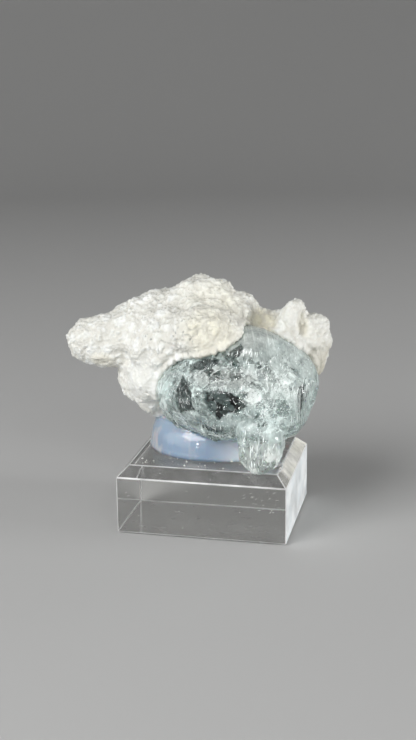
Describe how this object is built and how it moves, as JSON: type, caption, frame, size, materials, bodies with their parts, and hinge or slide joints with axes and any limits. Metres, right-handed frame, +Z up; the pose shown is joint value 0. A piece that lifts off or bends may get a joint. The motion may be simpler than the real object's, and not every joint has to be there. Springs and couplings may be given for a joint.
{
  "type": "aquamarine crystal specimen",
  "caption": "Pale blue-green aquamarine crystal in a lumpy white albite matrix, held by a pad of mounting gel on a clear bevelled acrylic block.",
  "frame": {"origin": "centre of the acrylic block's underside", "axes": "+X along the block's long side, towards the knobbly end of the matrix; -Y is the side that the crystal faces; +Z up"},
  "size_m": [0.051, 0.029, 0.0459],
  "materials": {
    "acrylic": "polished",
    "gel": "gloss",
    "albite": "matte",
    "aquamarine": "polished"
  },
  "bodies": {
    "root": {"acrylic_base": "acrylic", "mounting_gel": "gel", "albite_matrix": "albite", "aquamarine_crystal": "aquamarine"}
  },
  "joints": []
}
